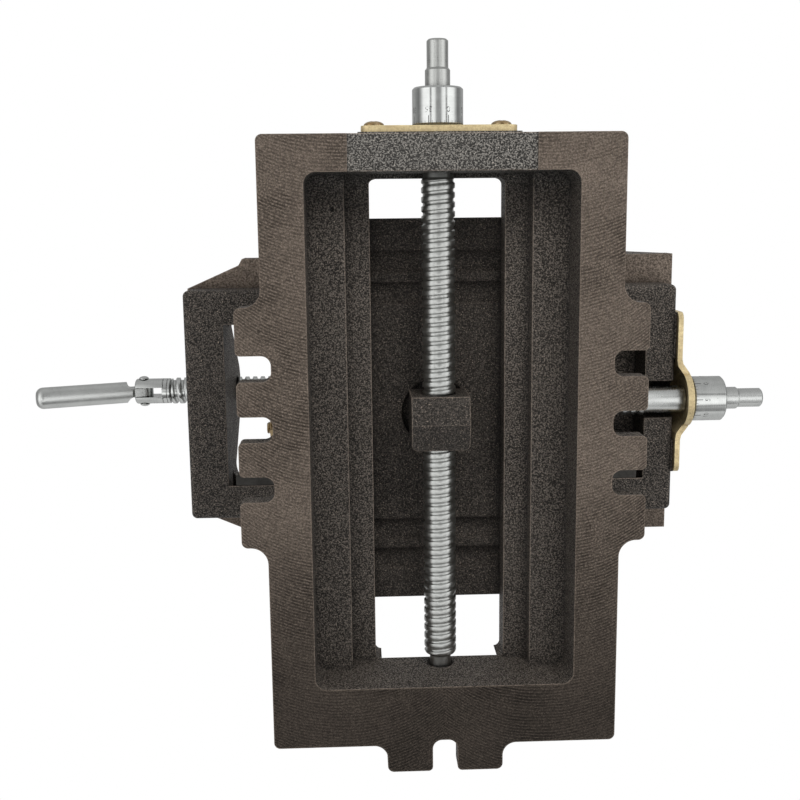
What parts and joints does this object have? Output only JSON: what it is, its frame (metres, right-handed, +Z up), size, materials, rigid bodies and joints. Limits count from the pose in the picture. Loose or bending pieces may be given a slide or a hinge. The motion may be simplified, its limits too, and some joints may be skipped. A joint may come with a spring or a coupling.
{
  "type": "cross slide vise",
  "caption": "Compound cross slide vise with slotted base, two dovetail slides driven by feed screws with dials, and a screw-driven jaw with a folding handle.",
  "frame": {"origin": "centre of the base's mounting face", "axes": "+Z up out of the mounting face, +X towards the fixed jaw and its crank end, -Y towards the front crank end"},
  "size_m": [0.3959, 0.3461, 0.158],
  "materials": {
    "casting": "rough dark cast skin, faces ground flat where they bear",
    "jaw_steel": "ground",
    "zinc_steel": "bright zinc plate",
    "brass_plate": "satin brass",
    "yellow_zinc": "yellow zinc plate",
    "nut_iron": "machined dark iron",
    "black_oxide": "black oxide"
  },
  "bodies": {
    "base": {"base_casting": "casting", "y_retainer_plate": "brass_plate", "y_retainer_screws": "zinc_steel"},
    "y_screw": {"y_lead_screw": "zinc_steel", "y_dial_collar": "zinc_steel", "y_collar_screw": "black_oxide"},
    "saddle": {"saddle": "casting", "y_nut": "nut_iron", "y_nut_bolt": "zinc_steel", "y_gib": "nut_iron", "y_gib_screws": "yellow_zinc", "y_gib_lock_nuts": "yellow_zinc", "x_nut": "nut_iron", "x_nut_screws": "zinc_steel"},
    "vise_body": {"vise_body": "casting", "x_gib": "nut_iron", "x_gib_screws": "yellow_zinc", "x_gib_lock_nuts": "yellow_zinc", "x_retainer_plate": "brass_plate", "x_retainer_screws": "zinc_steel", "fixed_jaw_plate": "jaw_steel", "fixed_jaw_screws": "black_oxide"},
    "x_screw": {"x_lead_screw": "zinc_steel", "x_dial_collar": "zinc_steel", "x_collar_screw": "black_oxide"},
    "movable_jaw": {"movable_jaw": "casting", "movable_jaw_plate": "jaw_steel", "movable_jaw_screws": "black_oxide", "keeper_plate": "nut_iron", "keeper_screws": "black_oxide", "horseshoe_plate": "zinc_steel", "horseshoe_screws": "zinc_steel"},
    "vise_screw": {"vise_screw": "zinc_steel", "hinge_pin": "zinc_steel"},
    "handle": {"handle_bar": "zinc_steel"}
  },
  "joints": [
    {"name": "y_slide", "type": "slide", "parent": "base", "child": "saddle", "axis": [0, 1, 0], "range_m": [-0.075, 0.085]},
    {"name": "y_screw_spin", "type": "hinge", "parent": "base", "child": "y_screw", "pos_m": [0, 0, 0.03], "axis": [0, 1, 0], "range_deg": [-7200, 7200]},
    {"name": "x_slide", "type": "slide", "parent": "saddle", "child": "vise_body", "axis": [1, 0, 0], "range_m": [-0.048, 0.045]},
    {"name": "x_screw_spin", "type": "hinge", "parent": "vise_body", "child": "x_screw", "pos_m": [0, -0.01, 0.078], "axis": [1, 0, 0], "range_deg": [-4000, 4000]},
    {"name": "jaw_slide", "type": "slide", "parent": "vise_body", "child": "movable_jaw", "axis": [1, 0, 0], "range_m": [-0.12, 0.0158]},
    {"name": "vise_screw_spin", "type": "hinge", "parent": "movable_jaw", "child": "vise_screw", "pos_m": [0, -0.01, 0.135], "axis": [1, 0, 0], "range_deg": [-9850, 1320]},
    {"name": "handle_fold", "type": "hinge", "parent": "vise_screw", "child": "handle", "pos_m": [-0.1624, -0.01, 0.135], "axis": [0, 1, 0], "range_deg": [-69, 110]}
  ],
  "couplings": [
    {"joint": "y_screw_spin", "follows": "y_slide", "rad_per_m": -1428},
    {"joint": "x_screw_spin", "follows": "x_slide", "rad_per_m": 1428},
    {"joint": "vise_screw_spin", "follows": "jaw_slide", "rad_per_m": 1428}
  ]
}
